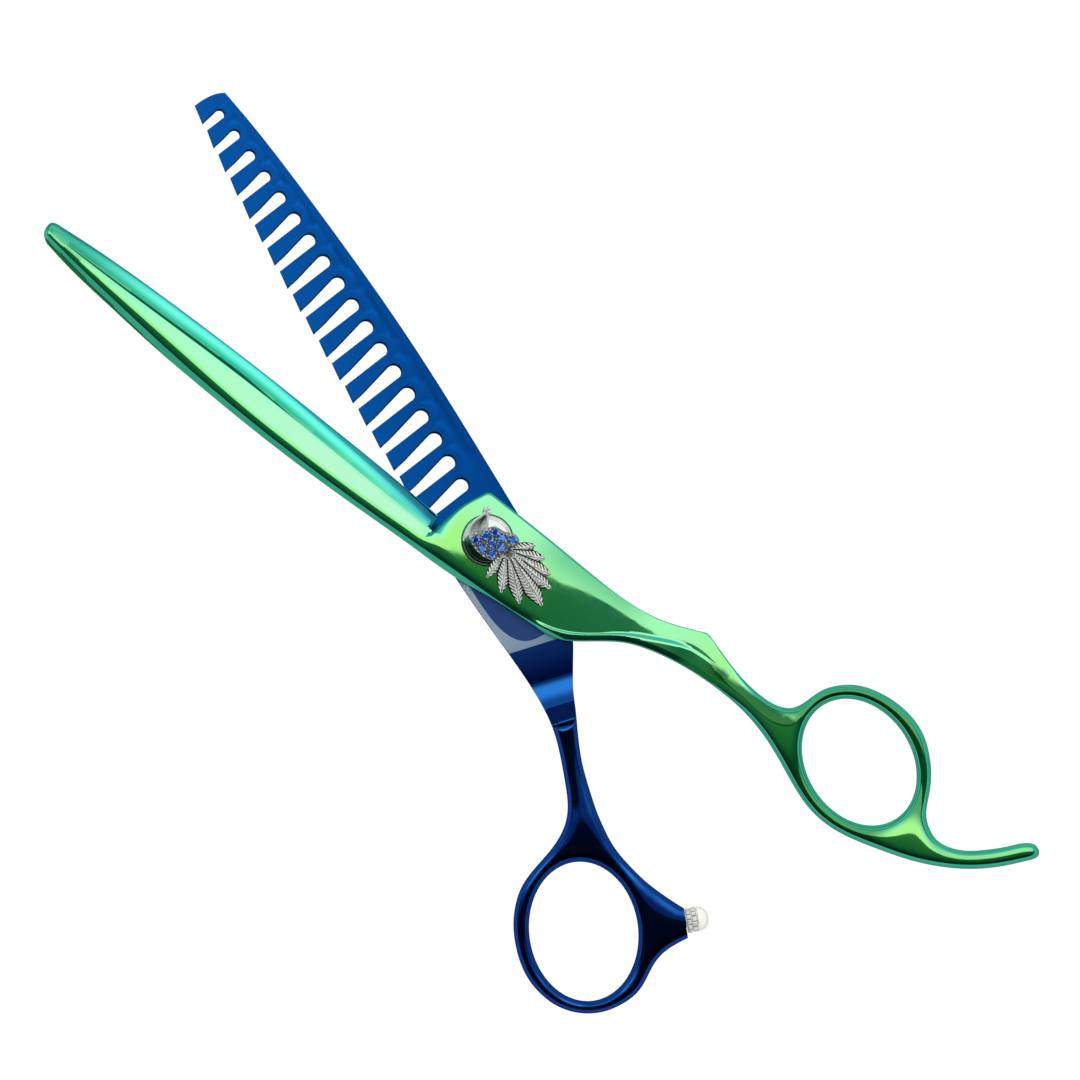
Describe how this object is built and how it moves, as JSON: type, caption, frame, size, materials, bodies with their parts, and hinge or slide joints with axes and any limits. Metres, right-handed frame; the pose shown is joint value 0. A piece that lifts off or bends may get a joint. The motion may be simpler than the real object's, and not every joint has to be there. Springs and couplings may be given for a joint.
{
  "type": "thinning shears",
  "caption": "Hair and pet thinning shears: a solid fluted blade over a coarse toothed blade, offset finger rings, curved finger rest, jewelled bumper and an ornamented tension screw.",
  "frame": {"origin": "on the pivot axis, at the centre of the pivot nut's flat outer face", "axes": "+Z along the pivot axis towards the ornament, +X along the finger half towards its blade tip, +Y towards the spine of the finger half's blade; the shears stand 23 degrees open"},
  "size_m": [0.2111, 0.1004, 0.0091],
  "materials": {
    "green_coating": "mirror polished steel with a green vacuum coating",
    "blue_coating": "steel with a blue vacuum coating, satin on the inner face, polished on the handle",
    "bright_plating": "bright plated",
    "cast_silver": "cast, plated and darkened in its grooves",
    "screw_steel": "machined",
    "nylon": "moulded",
    "bronze": "rolled",
    "blue_glass": "cut glass",
    "silicone": "pearly soft cap"
  },
  "bodies": {
    "finger_side": {"finger_half": "green_coating", "pivot_bush": "nylon"},
    "thumb_side": {"thumb_half": "blue_coating", "pivot_nut": "screw_steel", "glide_washer": "bronze", "bumper_stud": "screw_steel", "bumper_collar": "bright_plating", "bumper_dome": "silicone"},
    "tension_dial": {"pivot_screw": "bright_plating", "tension_washer": "screw_steel", "ornament_casting": "cast_silver", "stone_1": "blue_glass", "stone_2": "blue_glass", "stone_3": "blue_glass", "stone_4": "blue_glass", "stone_5": "blue_glass", "stone_6": "blue_glass", "stone_7": "blue_glass", "stone_8": "blue_glass", "stone_9": "blue_glass"}
  },
  "joints": [
    {"name": "blade_pivot", "type": "hinge", "parent": "finger_side", "child": "thumb_side", "pos_m": [0, 0, 0.0032], "axis": [0, 0, -1], "range_deg": [-19.5, 100]},
    {"name": "tension_turn", "type": "hinge", "parent": "thumb_side", "child": "tension_dial", "pos_m": [0, 0, 0.0065], "axis": [0, 0, 1], "range_deg": [-90, 90]}
  ]
}
